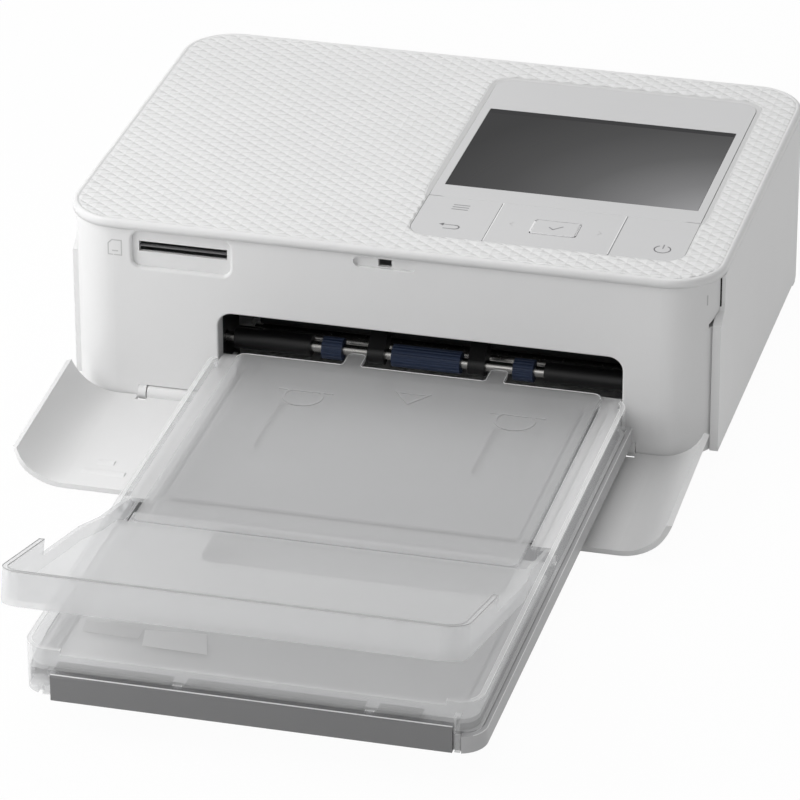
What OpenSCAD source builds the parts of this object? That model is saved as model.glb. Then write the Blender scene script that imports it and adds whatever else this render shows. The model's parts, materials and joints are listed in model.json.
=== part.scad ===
// Compact photo printer with its paper cassette pushed in and the tray lid folded out.
// X runs across the printer, +Y from the cassette to the back, +Z up, z = 0 is the table.
// The origin is the middle of the whole outline, on the table.

/* [Housing] */
// Width of the housing
body_w = 182.2; // [176:0.1:190]
// Depth of the housing
body_d = 133; // [130:0.5:138]
// Height of the housing
body_h = 57.6; // [56.6:0.1:60]
// Plan radius of the four corners
corner_r = 15; // [12:0.5:16]
// Height of the top cover's rim
rim_h = 2.6; // [2.2:0.1:3]
// How far the rim overhangs the front panel
rim_lip = 0.9; // [0.5:0.1:1.2]
// Wall thickness of the housing
wall = 2.2; // [1.8:0.1:2.4]
// Height of the housing's lower edge above the table
skirt_z = 4.5; // [4:0.1:5]

/* [Control panel] */
// Left edge of the control panel
panel_left = 3.2; // [2:0.1:4]
// Width of the control panel
panel_w = 75.7; // [74:0.1:77]
// Length of the control panel
panel_l = 107.4; // [104:0.1:110]
// Length of the key field
key_l = 25.2; // [24:0.1:27]
// Screen width
screen_w = 70.8; // [68:0.1:71]
// Screen length
screen_l = 53; // [50:0.1:56]
// Gap between neighbouring keys
key_gap = 0.35; // [0.3:0.05:0.5]
// Travel of the round and square push keys
key_travel = 0.4; // [0.3:0.05:0.4]

/* [Paper path] */
// Middle of the paper path across the printer
paper_x = 9.5; // [9:0.1:10]
// Width of the paper opening
mouth_w = 112.8; // [112.5:0.1:114]
// Top of the paper opening above the table
mouth_top = 32.4; // [31:0.1:34]
// Height of the pick-up shaft
pickup_z = 20; // [20:0.1:20.5]
// Radius of the pick-up rollers
roller_r = 3.1; // [3:0.1:3.2]

/* [Cassette] */
// Outside width of the cassette
cassette_w = 118; // [117.6:0.1:118.4]
// Middle of the cassette across the printer
cassette_x = 10.4; // [10:0.1:10.8]
// Height of the cassette's underside
cassette_z = 8.7; // [8.7:0.1:8.9]
// Length in front of the printer
cassette_out = 171; // [168:0.5:173]
// Length that reaches into the printer
cassette_in = 14; // [12:0.5:14]
// Top of the cassette's side walls
cassette_top = 21.7; // [21.5:0.1:22]
// Length of the tray lid from its pivot
tray_l = 101; // [98:0.5:102]
// Slope of the folded-out tray lid
tray_angle = 15; // [14.5:0.1:16]
// Height of the tray lid's end wall
tray_wall = 8.7; // [8:0.1:10]

/* [Slot cover] */
// Length of the slot cover from its hinge
cover_l = 50.5; // [48:0.5:51]
// Slope of the opened slot cover
cover_tilt = 3.6; // [3.4:0.1:3.7]
// Height of the slot cover's hinge axis
cover_hinge_z = 5.5; // [5.4:0.1:5.6]

/* [Gear train] */
// Gear module
gear_m = 0.6; // [0.55:0.05:0.6]
// Teeth on the motor pinion
pinion_n = 12; // [12:1:14]

/* [Hidden] */

$fn = 48;
eps = 0.01;
slack = 0.15;               // gap round a part that drops into a hole
run_fit = 0.05;             // radial clearance of a shaft in its bore

// Housing
half_w = body_w / 2;
pivot_dy = 88;              // the tray lid's pivot lies this far in front of the printer
pivot_rise = 2.1;           // and this far above the lid's underside
tray_reach = pivot_dy + pivot_rise * sin(tray_angle) + tray_l * cos(tray_angle);
front_y = (tray_reach - body_d) / 2;
back_y = front_y + body_d;
rim_z = body_h - rim_h;
border_w = 1.3;             // plain border round the textured field
field_sink = 0.35;          // the field lies this far below the border
edge_r = 0.8;               // rounded upper edge of the rim
side_t = 2.3;               // thickness of the side panel and the ink door
side_x = half_w - side_t;
left_front = front_y + 11;  // front edge of the left side panel
door_front = front_y + 7.5; // front edge of the ink door
side_back = back_y - corner_r;
step_z = 41.9;              // above this the side panels are set back
step_rise = 1.8;
step_run = 4.5;
door_gap = 0.35;
floor_t = 2;
floor_z = 2.6;
floor_top = floor_z + floor_t;
chassis_inset = 3.3;

// Control panel
panel_front = front_y + 12.1;
panel_r = 5.5;
panel_sink = 0.4;
panel_top = body_h - panel_sink;
panel_mid = panel_left + panel_w / 2;
panel_back = panel_front + panel_l;
bezel_front = panel_front + key_l;
screen_x = panel_left + 2.5;
screen_y = bezel_front + 8;
key_split = [panel_left, panel_left + 21, panel_left + 55.6, panel_left + panel_w];
key_z = 55.3;               // underside of the keys
tray_z = 53.2;              // underside of the flange that carries the keys
tray_top = 54.6;
ok_w = 12.3;
ok_l = 8.5;
ok_x = 41.6;
ok_y = panel_front + 12.55;

// Front
recess_x = -57;
recess_w = 27.7;
recess_z = 48.85;
slot_x = -56.7;
slot_w = 24.9;
slot_z = 49.5;
slot_h = 3;
latch_w = 17.3;
latch_h = 2.8;
latch_z = 52.5;
jamb_back = front_y + 5.6;  // depth of the paper opening's white jamb
mouth_half = mouth_w / 2;
knuckle_r = 2.1;
knuckle_in = 67.6;
knuckle_out = 69.8;
cover_pin_r = 1;
cover_hinge_y = front_y + 1.5;
cover_gap_z = 7.9;          // lower edge of the front panel between the knuckles
cover_t = 1.5;

// Ink door hinge
door_hinge_x = side_x + side_t / 2;
door_hinge_y = back_y - 14;
door_pin_r = 0.6;

// Paper path, as [y, z] of each axis
pickup_at = [front_y + 12, pickup_z];
pickup_r = 1.5;
capstan_at = [front_y + 30, 13];
capstan_r = 3;
pinch_r = 3;
pinch_at = [capstan_at[0], capstan_at[1] + capstan_r + pinch_r + 0.3];
platen_at = [front_y + 57, 13.5];
platen_r = 5.5;
shaft_r = 2;
frame_t = 1.5;
frame_lx = -54;             // outer face of the left frame plate
frame_rx = 70.5;            // inner face of the right frame plate

// Gears, all in one plane outside the left frame plate; the idler's count is the take-up gear's too
capstan_n = 16;
idler_n = 24;
pickup_n = 30;
reduction_n = 36;
gear_w = 3;
gear_x = frame_lx - 0.6 - gear_w;
function pitch_r(n) = gear_m * n / 2;
function polar(c, r, a) = [c[0] + r * cos(a), c[1] + r * sin(a)];
function bearing(a, b) = atan2(b[1] - a[1], b[0] - a[0]);
// Phase of gear 2 so that its gaps face the teeth of gear 1
function mesh_phase(phase, n1, n2, dir) = dir + 180 - (phase - dir) * n1 / n2 - 180 / n2;
// The idler touches the pick-up gear and the capstan gear
reach_a = pitch_r(pickup_n) + pitch_r(idler_n);
reach_b = pitch_r(capstan_n) + pitch_r(idler_n);
span_ab = norm(capstan_at - pickup_at);
along_ab = (reach_a * reach_a - reach_b * reach_b + span_ab * span_ab) / (2 * span_ab);
rise_ab = sqrt(reach_a * reach_a - along_ab * along_ab);
idler_at = polar(polar(pickup_at, along_ab, bearing(pickup_at, capstan_at)), rise_ab,
    bearing(pickup_at, capstan_at) + 90);
reduction_at = polar(idler_at, pitch_r(idler_n) + pitch_r(reduction_n), 8);
pinion_at = polar(reduction_at, pitch_r(reduction_n) + pitch_r(pinion_n), 0);
take_up_at = polar(reduction_at, pitch_r(reduction_n) + pitch_r(idler_n), 115);
supply_at = [front_y + 79, 40];
idler_phase = mesh_phase(0, capstan_n, idler_n, bearing(capstan_at, idler_at));
pickup_phase = mesh_phase(idler_phase, idler_n, pickup_n, bearing(idler_at, pickup_at));
reduction_phase = mesh_phase(idler_phase, idler_n, reduction_n, bearing(idler_at, reduction_at));
pinion_phase = mesh_phase(reduction_phase, reduction_n, pinion_n, bearing(reduction_at, pinion_at));
take_up_phase = mesh_phase(reduction_phase, reduction_n, idler_n, bearing(reduction_at, take_up_at));

// Cassette
cas_half = cassette_w / 2;
cas_front = front_y - cassette_out;
cas_wide_back = front_y - 1.5;
cas_back = front_y + cassette_in;
cas_neck = 55.8;            // half width of the part inside the printer
cas_bore = 51.5;            // half width of the paper space
cas_r = 7;
base_h = 4.6;
base_t = 1.3;
strip_h = 7;
strip_x0 = cassette_x - 50;
strip_x1 = cassette_x + 51.7;
frame_inset = 1;            // the clear frame stands this far inside the base's rim
frame_wall = 1.2;
frame_front = cas_front + 2.2;
frame_low = 20.5;           // top of the frame's front wall
plate_top = 16.4;           // top of the fixed plate over the front half
plate_t = 1.2;
ledge_top = 19;
lid_z = 19.3;
lid_t = 1.2;
lid_split = front_y - 97.3; // where the tray lid's floor meets the inner lid
pivot_at = [front_y - pivot_dy, 18.6];
pivot_r = 1.15;
arm_half = cas_half - frame_inset - frame_wall - 0.3;
tray_half = cas_half - 0.8;
tray_t = 1.3;
tray_rail = 4.6;
arm_l = 22.6;               // the lid is narrower up to here, to drop between the side walls
taper_l = 12;               // and widens over this length
tray_floor_from = (pivot_at[0] - lid_split + 0.4) / cos(tray_angle);

// ---------- helpers ----------

// Rectangle with round corners, centred
module rrect(w, d, r) {
    square([w - 2 * r, d], center = true);
    square([w, d - 2 * r], center = true);
    for (sx = [-1, 1], sy = [-1, 1])
        translate([sx * (w / 2 - r), sy * (d / 2 - r)]) circle(r);
}

// Plate with round corners and a rounded upper edge, centred in plan, standing on z = 0
module soft_plate(w, d, r, h, e) {
    linear_extrude(h - e) rrect(w, d, r);
    linear_extrude(h) rrect(w - 2 * e, d - 2 * e, r - e);
    for (s = [-1, 1]) {
        translate([s * (w / 2 - e), 0, h - e]) rotate([90, 0, 0])
            cylinder(r = e, h = d - 2 * r, center = true);
        translate([0, s * (d / 2 - e), h - e]) rotate([0, 90, 0])
            cylinder(r = e, h = w - 2 * r, center = true);
    }
    for (sx = [-1, 1], sy = [-1, 1])
        translate([sx * (w / 2 - r), sy * (d / 2 - r), h - e])
            rotate_extrude() translate([r - e, 0]) circle(e);
}

// Box between two corners
module block(a, b) {
    translate(a) cube(b - a);
}

// Outline of the housing, drawn in by inset
module plan(inset) {
    translate([0, front_y + body_d / 2])
        rrect(body_w - 2 * inset, body_d - 2 * inset, corner_r - inset);
}

// Upright ring that follows the housing's outline
module shell(z0, z1, inset, t) {
    translate([0, 0, z0]) linear_extrude(z1 - z0) difference() {
        plan(inset);
        plan(inset + t);
    }
}

// Lays a shape drawn in the X-Z plane along Y, from y0 to y0 + d
module front_cut(y0, d) {
    translate([0, y0 + d, 0]) rotate([90, 0, 0]) linear_extrude(d) children();
}

// Section that rounds an edge by e, from the opening's wall outwards and inwards from the face
module ease(e) {
    difference() {
        translate([-0.3, -0.5]) square([e + 0.3, e + 0.5]);
        translate([e, e]) circle(e);
    }
}

// Cutter that rounds the front edge of a round-cornered opening centred at [x, z]
module eased_rim(at, w, h, r, e) {
    translate([at[0], front_y + rim_lip, at[1]]) rotate([-90, 0, 0]) {
        for (m = [0, 1]) mirror([m, 0, 0]) translate([w / 2, h / 2 - r, 0])
            rotate([90, 0, 0]) linear_extrude(h - 2 * r) ease(e);
        for (m = [0, 1]) mirror([0, m, 0]) rotate(90) translate([h / 2, w / 2 - r, 0])
            rotate([90, 0, 0]) linear_extrude(w - 2 * r) ease(e);
        for (sx = [-1, 1], sy = [-1, 1]) translate([sx * (w / 2 - r), sy * (h / 2 - r), 0])
            rotate_extrude() translate([r, 0]) ease(e);
    }
}

// Rod along X at [y, z]
module rod(at, x0, x1, r) {
    translate([x0, at[0], at[1]]) rotate([0, 90, 0]) cylinder(r = r, h = x1 - x0);
}

// Tube along X
module tube(at, x0, x1, r, bore) {
    difference() {
        rod(at, x0, x1, r);
        rod(at, x0 - 1, x1 + 1, bore);
    }
}

function flank(rb, r) = tan(acos(rb / r)) * 180 / PI - acos(rb / r);

// Involute gear outline with a tooth centred on angle 0
module gear_outline(n) {
    rp = pitch_r(n);
    rb = rp * cos(20);
    rr = rp - 1.2 * gear_m;
    ra = rp + 0.9 * gear_m;
    half = 90 / n - 4 / rp + flank(rb, rp);
    steps = [for (i = [0 : 3]) rb + (ra - rb) * i / 3];
    polygon([for (k = [0 : n - 1]) each concat(
        [[rr * cos(360 * k / n - half), rr * sin(360 * k / n - half)]],
        [for (r = steps) [r * cos(360 * k / n - half + flank(rb, r)),
                          r * sin(360 * k / n - half + flank(rb, r))]],
        [for (i = [3 : -1 : 0]) [steps[i] * cos(360 * k / n + half - flank(rb, steps[i])),
                                 steps[i] * sin(360 * k / n + half - flank(rb, steps[i]))]],
        [[rr * cos(360 * k / n + half), rr * sin(360 * k / n + half)]])]);
}

// Gear at [y, z] in the gear plane, turned so that its outline's angle 0 points along +Y
module gear(at, n, phase, bore, hub = 0) {
    translate([gear_x, at[0], at[1]]) rotate([90, 0, 90]) difference() {
        union() {
            linear_extrude(gear_w) rotate(phase) gear_outline(n);
            if (hub > 0) cylinder(r = hub, h = gear_w + 0.5);
        }
        translate([0, 0, -1]) cylinder(r = bore, h = gear_w + 3);
    }
}

// Roller tyre with grooves along its length
module ribbed_roller(x0, x1) {
    ribs = 18;
    translate([x0, pickup_at[0], pickup_at[1]]) rotate([90, 0, 90]) linear_extrude(x1 - x0)
        difference() {
            circle(roller_r);
            circle(pickup_r + 0.02);
            for (k = [0 : ribs - 1])
                rotate(k * 360 / ribs) translate([roller_r + 0.12, 0]) circle(0.36, $fn = 16);
        }
}

// ---------- housing ----------

module bottom_chassis() color("gainsboro") {
    difference() {
        union() {
            translate([0, 0, floor_z]) linear_extrude(floor_t) intersection() {
                plan(chassis_inset);
                translate([-half_w, front_y + 4.6]) square([body_w, body_d]);
            }
            // upstand that the wall panels screw to
            intersection() {
                shell(floor_top - eps, floor_top + 3.4, chassis_inset, 2);
                block([-half_w, front_y + 8, 0], [half_w, back_y, body_h]);
            }
            for (p = boss_places) translate([p[0], p[1], floor_top - eps]) cylinder(r = 3.4, h = 6);
            // lug under the ink door
            difference() {
                translate([door_hinge_x, door_hinge_y, floor_z]) cylinder(r = 1.6, h = 1.7);
                block([half_w - 0.4, door_hinge_y - 5, 0], [half_w + 5, door_hinge_y + 5, 10]);
            }
            block([side_x - 6, door_hinge_y - 1.6, floor_z],
                [door_hinge_x, door_hinge_y + 1.6, floor_z + 1.7]);
        }
        for (p = boss_places) translate([p[0], p[1], floor_z - 1]) {
            cylinder(r = 1.28, h = 8);
            cylinder(r = 2.6, h = 2.3);
        }
        translate([door_hinge_x, door_hinge_y, floor_z]) cylinder(r = door_pin_r + 0.02, h = 8, center = true);
        // air slots in the underside
        for (i = [0 : 8]) block([-30 + i * 5, front_y + 78, 0], [-27.6 + i * 5, front_y + 104, 6]);
        // pockets for the rubber feet
        for (p = foot_places) translate([p[0], p[1], floor_z - 1]) cylinder(r = foot_r + 0.1, h = 1.6);
    }
}

boss_places = [[-80, front_y + 16], [80, front_y + 16], [-80, front_y + 122], [80, front_y + 118],
    [-70, front_y + 70]];
foot_places = [[-70, front_y + 20], [76, front_y + 30], [-70, back_y - 14], [72, back_y - 14]];
foot_r = 5.5;

// Front edge of a side panel above its straight lower part, moved forwards and up by gap
function step_edge(y0, gap) = [[y0 - gap, step_z + gap],
    [y0 + step_run - 2 - gap, step_z + step_rise + gap],
    [y0 + step_run - 0.6 - gap, step_z + step_rise + 0.8 + gap],
    [y0 + step_run - gap, step_z + step_rise + 2.4 + gap]];

// Side view of the front panel's end where a side panel starts at y0
module front_profile(y0, gap) {
    polygon(concat([[front_y - 1, body_h], [front_y - 1, 0], [y0 - gap, 0]], step_edge(y0, gap),
        [[y0 + step_run - gap, body_h]]));
}

module front_panel() color("whitesmoke") {
    difference() {
        union() {
            intersection() {
                shell(skirt_z, rim_z, rim_lip, wall);
                union() {
                    translate([-half_w, 0, 0]) rotate([90, 0, 90]) linear_extrude(half_w)
                        front_profile(left_front, 0.1);
                    rotate([90, 0, 90]) linear_extrude(half_w) front_profile(door_front, door_gap);
                    // tongues behind the side panels
                    block([-side_x + 0.15, 0, 0], [side_x - 0.15, left_front + 2.5, step_z - 0.6]);
                }
            }
            // jamb round the paper opening
            intersection() {
                front_cut(front_y + rim_lip + wall - 0.2, jamb_back - front_y - rim_lip - wall + 0.2)
                    translate([paper_x, mouth_top - 20]) rrect(mouth_w + 3, 43, 5.5);
                block([-half_w, 0, cover_gap_z], [half_w, back_y, body_h]);
            }
        }
        // paper opening, open downwards
        front_cut(front_y - 1, 8) translate([paper_x, mouth_top - 20]) rrect(mouth_w, 40, 4);
        eased_rim([paper_x, mouth_top - 20], mouth_w, 40, 4, 0.5);
        front_cut(front_y - 1, 5) translate([-knuckle_out - 0.1, -5])
            square([2 * knuckle_out + 0.2, cover_gap_z + 5]);
        // recess round the card slot
        front_cut(front_y - 1, 1 + rim_lip + 1.2) translate([recess_x, recess_z]) rrect(recess_w, 10.5, 2.5);
        eased_rim([recess_x, recess_z], recess_w, 10.5, 2.5, 0.9);
        front_cut(front_y - 1, 6) translate([slot_x, slot_z]) square([slot_w, slot_h], center = true);
        // latch pocket with its window
        front_cut(front_y - 1, 1 + rim_lip + 1) translate([0, latch_z]) rrect(latch_w, latch_h, 1.39);
        eased_rim([0, latch_z], latch_w, latch_h, 1.39, 0.35);
        front_cut(front_y - 1, 6) translate([0, latch_z]) square([3.7, 2.3], center = true);
        // room for the pick-up gear
        rod(pickup_at, gear_x - 0.6, gear_x + gear_w + 0.6, pitch_r(pickup_n) + 0.9 * gear_m + 0.4);
    }
    // hinge knuckles of the slot cover
    for (s = [0, 1]) mirror([s, 0, 0]) difference() {
        union() {
            rod([cover_hinge_y, cover_hinge_z], -knuckle_out, -knuckle_in, knuckle_r);
            block([-knuckle_out, front_y + rim_lip + 0.1, cover_hinge_z],
                [-knuckle_in, front_y + rim_lip + wall, cover_gap_z + 1]);
        }
        rod([cover_hinge_y, cover_hinge_z], -knuckle_out - 1, -knuckle_in + 1, cover_pin_r + 0.01);
    }
}

module top_cover() color("white") {
    difference() {
        translate([0, front_y + body_d / 2, rim_z]) soft_plate(body_w, body_d, corner_r, rim_h, edge_r);
        translate([0, 0, body_h - field_sink]) linear_extrude(1) difference() {
            plan(border_w);
            translate([panel_mid, panel_front + panel_l / 2])
                rrect(panel_w + 2 * border_w, panel_l + 2 * border_w, panel_r + border_w);
        }
        translate([panel_mid, panel_front + panel_l / 2, rim_z - 1]) linear_extrude(rim_h + 2)
            rrect(panel_w + 2 * slack, panel_l + 2 * slack, panel_r + slack);
        translate([door_hinge_x, door_hinge_y, rim_z - 1]) cylinder(r = door_pin_r + 0.02, h = 2.2);
    }
}

// Side view of a side panel between y0 and y1
module side_profile(y0, y1) {
    polygon(concat([[y1, rim_z - 0.1], [y1, skirt_z], [y0, skirt_z]], step_edge(y0, 0),
        [[y0 + step_run, rim_z - 0.1]]));
}

module left_side_panel() color("whitesmoke") {
    translate([-half_w, 0, 0]) rotate([90, 0, 90]) linear_extrude(side_t)
        side_profile(left_front, side_back - 0.1);
    // clips that hook behind the chassis upstand
    for (y = [front_y + 40, front_y + 90])
        block([-side_x - eps, y, floor_top + 3.6], [-side_x + 1.6, y + 12, floor_top + 6]);
}

module rear_panel() color("whitesmoke") {
    difference() {
        intersection() {
            shell(skirt_z, rim_z - 0.1, 0, side_t);
            union() {
                block([-half_w, side_back, 0], [0, back_y, body_h]);
                block([-eps, door_hinge_y + 1.4, 0], [half_w, back_y, body_h]);
            }
        }
        // paper leaves and returns through this slot while it is printed
        front_cut(back_y - 5, 8) translate([paper_x, 13.5]) rrect(108, 8.4, 3);
        // air slots
        for (i = [0 : 13]) front_cut(back_y - 5, 8)
            translate([paper_x - 39 + i * 6, 36]) rrect(2.4, 14, 1.1);
        // power inlet and data port
        front_cut(back_y - 5, 8) translate([-68, 22]) circle(r = 4.6);
        front_cut(back_y - 5, 8) translate([-68, 40]) rrect(9.6, 3.8, 1.8);
    }
}

module rubber_feet() color("dimgray") {
    for (p = foot_places) translate([p[0], p[1], 0]) difference() {
        cylinder(r = foot_r, h = floor_z + 0.6);
        translate([0, 0, -1]) cylinder(r = 2, h = 1.8);
    }
}

module case_screws() color("silver") {
    for (p = boss_places) translate([p[0], p[1], floor_z + 0.05]) difference() {
        union() {
            cylinder(r = 2.4, h = 1.2);
            cylinder(r = 1.25, h = 6.5);
        }
        translate([0, 0, -eps]) for (a = [0, 90]) rotate(a)
            translate([-1.5, -0.3, 0]) cube([3, 0.6, 0.7]);
    }
}

// ---------- control panel ----------

module control_panel() color("gainsboro") {
    difference() {
        union() {
            translate([panel_mid, (bezel_front + panel_back) / 2, tray_top]) linear_extrude(panel_top - tray_top)
                intersection() {
                    rrect(panel_w, panel_back - bezel_front, panel_r);
                    translate([0, 2]) square([panel_w, panel_l], center = true);
                }
            block([panel_left, bezel_front + key_gap, tray_top],
                [panel_left + panel_w, bezel_front + 9, panel_top]);
            // flange that carries the keys, clamped under the top cover
            translate([panel_mid, panel_front + panel_l / 2, tray_z])
                linear_extrude(tray_top - tray_z + eps) rrect(panel_w + 3, panel_l + 3, panel_r + 1.5);
        }
        translate([screen_x + screen_w / 2, screen_y + screen_l / 2, tray_z - 1])
            linear_extrude(10) square([screen_w + 0.2, screen_l + 0.2], center = true);
        // windows for the membrane and the key plungers
        translate([ok_x, ok_y, tray_z - 1]) linear_extrude(4) square([21, 17], center = true);
        translate([(key_split[0] + key_split[1]) / 2, panel_front + 12.6, tray_z - 1])
            cylinder(r = 3, h = 4);
        translate([(key_split[2] + key_split[3]) / 2, panel_front + 12.6, tray_z - 1])
            cylinder(r = 3, h = 4);
    }
}

module lcd_window() color("dimgray") {
    translate([screen_x, screen_y, panel_top - 1.2]) cube([screen_w, screen_l, 1.2]);
}

module lcd_module() color("black") {
    difference() {
        block([screen_x - 1, screen_y - 2, 52.3], [screen_x + screen_w + 1, screen_y + screen_l + 4, tray_z - 0.05]);
        block([screen_x + 3, screen_y + 4, 52], [screen_x + 30, screen_y + 12, 52.7]);
    }
    translate([screen_x, screen_y, tray_z - 0.1]) cube([screen_w, screen_l, panel_top - 1.25 - tray_z]);
}

module key_board() color("green") {
    difference() {
        block([panel_left + 1, panel_front - 1, 50.9], [panel_left + panel_w - 1, bezel_front + 2, 52.1]);
        for (x = [panel_left + 4, panel_left + panel_w - 4]) translate([x, panel_front + 2, 50])
            cylinder(r = 1.1, h = 4);
    }
    // dome switches under the keys
    for (x = [(key_split[0] + key_split[1]) / 2, ok_x, (key_split[2] + key_split[3]) / 2])
        translate([x, panel_front + 12.6, 52.1 - eps]) cylinder(r = 2.2, h = 0.4);
}

// Key plate between two split lines, with the round panel corner where it has one
module key_plate(x0, x1) {
    translate([0, 0, key_z]) linear_extrude(panel_top - key_z) intersection() {
        translate([panel_mid, panel_front + panel_l / 2]) rrect(panel_w, panel_l, panel_r);
        translate([x0, panel_front - 1]) square([x1 - x0, key_l + 1 - key_gap / 2]);
    }
}

module key_plunger(x) {
    translate([x, panel_front + 12.6, 53.2]) cylinder(r = 1.6, h = key_z - 53.2 + eps);
}

module menu_back_key() color("gainsboro") {
    key_plate(key_split[0], key_split[1] - key_gap / 2);
    key_plunger((key_split[0] + key_split[1]) / 2);
}

module navigation_key() color("gainsboro") difference() {
    key_plate(key_split[1] + key_gap / 2, key_split[2] - key_gap / 2);
    translate([ok_x, ok_y, key_z - 1]) linear_extrude(5)
        rrect(ok_w + 2 * key_gap, ok_l + 2 * key_gap, 1);
}

module navigation_membrane() color("silver") {
    translate([ok_x, ok_y, 53.2]) linear_extrude(1.7) difference() {
        rrect(19, 15, 2);
        rrect(14.4, 10.6, 1.5);
    }
}

module ok_button() color("gainsboro") {
    translate([ok_x, ok_y, key_z]) soft_plate(ok_w, ok_l, 0.7, panel_top - key_z + 0.15, 0.25);
    key_plunger(ok_x);
}

module power_key() color("gainsboro") {
    key_plate(key_split[2] + key_gap / 2, key_split[3]);
    key_plunger((key_split[2] + key_split[3]) / 2);
}

// ---------- doors ----------

// Slot cover: a flat plate whose ends curl up to follow the housing's corners
module slot_cover() color("whitesmoke") {
    curl = 70;
    curl_x = half_w - corner_r;
    bottom = -knuckle_r;
    translate([0, cover_hinge_y, cover_hinge_z]) rotate([cover_tilt, 0, 0]) {
        difference() {
            intersection() {
                translate([0, -1.1, 0]) rotate([90, 0, 0]) linear_extrude(cover_l - 1.1) {
                    translate([-curl_x, bottom]) square([2 * curl_x, cover_t]);
                    for (s = [-1, 1]) translate([s * curl_x, bottom + corner_r]) intersection() {
                        difference() {
                            circle(corner_r, $fn = 96);
                            circle(corner_r - cover_t, $fn = 96);
                        }
                        polygon([[0, 0], [0, -30], [s * 30 * tan(curl), -30]]);
                    }
                }
                // plan outline with round far corners
                translate([0, 0, bottom - 1]) linear_extrude(20) union() {
                    translate([0, -cover_l / 2]) rrect(body_w, cover_l, 5);
                    translate([-half_w, -cover_l / 2]) square([body_w, cover_l / 2]);
                }
            }
            // room for the fixed knuckles
            for (s = [-1, 1]) translate([s * (knuckle_in + knuckle_out) / 2, -2, 0])
                cube([knuckle_out - knuckle_in + 0.7, 1.2 + 2 * 0.9, 12], center = true);
        }
        for (s = [0, 1]) mirror([s, 0, 0]) difference() {
            union() {
                rod([0, 0], -knuckle_in + 0.35, -52, knuckle_r);
                block([-knuckle_in + 0.35, -2.6, bottom], [-52, 0, bottom + cover_t]);
            }
            rod([0, 0], -knuckle_out, -50, cover_pin_r + run_fit);
        }
        // latch hook
        block([-1.6, -cover_l + 3.6, bottom + 1], [1.6, -cover_l + 4.6, 1]);
        block([-1.6, -cover_l + 2.9, 0.2], [1.6, -cover_l + 4.6, 1]);
        // low swellings beside the cassette
        for (bead = [[-73, -61, -42.8], [-70, -65.4, -37.7]]) intersection() {
            rod([bead[2], bottom + cover_t - 3.75], bead[0], bead[1], 4);
            block([-80, -cover_l, bottom + 1], [80, 0, 1]);
        }
    }
}

module slot_cover_pins() color("silver") {
    for (s = [0, 1]) mirror([s, 0, 0])
        rod([cover_hinge_y, cover_hinge_z], -knuckle_out + 0.1, -54, cover_pin_r);
}

module ink_door() color("whitesmoke") {
    difference() {
        union() {
            translate([side_x, 0, 0]) rotate([90, 0, 90]) linear_extrude(side_t)
                side_profile(door_front, door_hinge_y);
            translate([door_hinge_x, door_hinge_y, skirt_z + 0.1]) cylinder(r = side_t / 2, h = rim_z - skirt_z - 0.2);
            // stiffening ribs and latch tongue on the inner face
            for (z = [14, 32]) block([side_x - 1.2, door_front + 10, z], [side_x + eps, door_hinge_y - 6, z + 1.2]);
            block([side_x - 2.2, door_front + 6, 46], [side_x + eps, door_front + 7.2, 52]);
        }
        translate([door_hinge_x, door_hinge_y, 0]) cylinder(r = door_pin_r + run_fit, h = body_h);
    }
}

module ink_door_pin() color("silver") {
    translate([door_hinge_x, door_hinge_y, floor_z + 0.1]) cylinder(r = door_pin_r, h = rim_z + 1 - floor_z);
}

// ---------- mechanism ----------

module paper_throat() color("black") {
    y0 = jamb_back + 0.3;
    difference() {
        union() {
            block([paper_x - 60.4, y0, mouth_top + 0.3], [paper_x + 60.4, front_y + 15, mouth_top + 1.7]);
            for (s = [-1, 1]) translate([paper_x + s * 58.8, 0, 0])
                block([-1.6, y0, floor_top], [1.6, front_y + 24, mouth_top + 1.7]);
        }
        rod(pickup_at, -60, 80, pickup_r + 0.4);
        // notch for the roller beam
        block([-half_w, front_y + 17.1, 26.1], [half_w, front_y + 25, 30.9]);
    }
    for (s = [0, 1]) translate([paper_x, 0, 0]) mirror([s, 0, 0]) {
        // foot and rail that the cassette slides on
        block([51.6, y0, floor_top], [58, front_y + 24, floor_top + 1.2]);
        block([51.6, y0, floor_top], [54.4, front_y + 24, cassette_z - 0.3]);
    }
}

module roller_beam() color("black") {
    block([frame_lx + frame_t, front_y + 17.5, 26.5], [frame_rx, front_y + 23, 30.5]);
    for (x = [-7.2, 21]) difference() {
        union() {
            rod(pickup_at, x, x + 4.7, 2.9);
            translate([x, 0, 0]) rotate([90, 0, 90]) linear_extrude(4.7)
                polygon([[pickup_at[0] - 1.6, pickup_at[1] + 2.4], [pickup_at[0] + 2.9, pickup_at[1] - 1],
                    [front_y + 22, 26.8], [front_y + 18, 29]]);
        }
        rod(pickup_at, x - 1, x + 6, pickup_r + run_fit);
    }
}

module pickup_shaft() color("silver") {
    rod(pickup_at, gear_x - 1, frame_rx + frame_t + 1, pickup_r);
}

module center_roller() color("midnightblue") ribbed_roller(-0.4, 18.8);

module side_rollers() color("midnightblue") {
    ribbed_roller(-20.1, -14.4);
    ribbed_roller(33.6, 39.2);
}

module shaft_sleeves() color("black") {
    tube(pickup_at, paper_x - 54.5, -23.3, 2.9, pickup_r + 0.02);
    tube(pickup_at, 42.3, paper_x + 54.5, 2.9, pickup_r + 0.02);
}

module pickup_gear() color("ivory") gear(pickup_at, pickup_n, pickup_phase, pickup_r + 0.02);

module capstan_roller() color("silver") {
    rod(capstan_at, gear_x - 1, frame_rx + frame_t + 1, shaft_r);
    rod(capstan_at, paper_x - 54, paper_x + 54, capstan_r);
}

module capstan_gear() color("ivory") gear(capstan_at, capstan_n, 0, shaft_r + 0.02);

module pinch_roller() color("dimgray") {
    rod(pinch_at, frame_lx - 0.4, frame_rx + frame_t + 0.4, pickup_r);
    rod(pinch_at, paper_x - 52, paper_x + 52, pinch_r);
}

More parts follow.
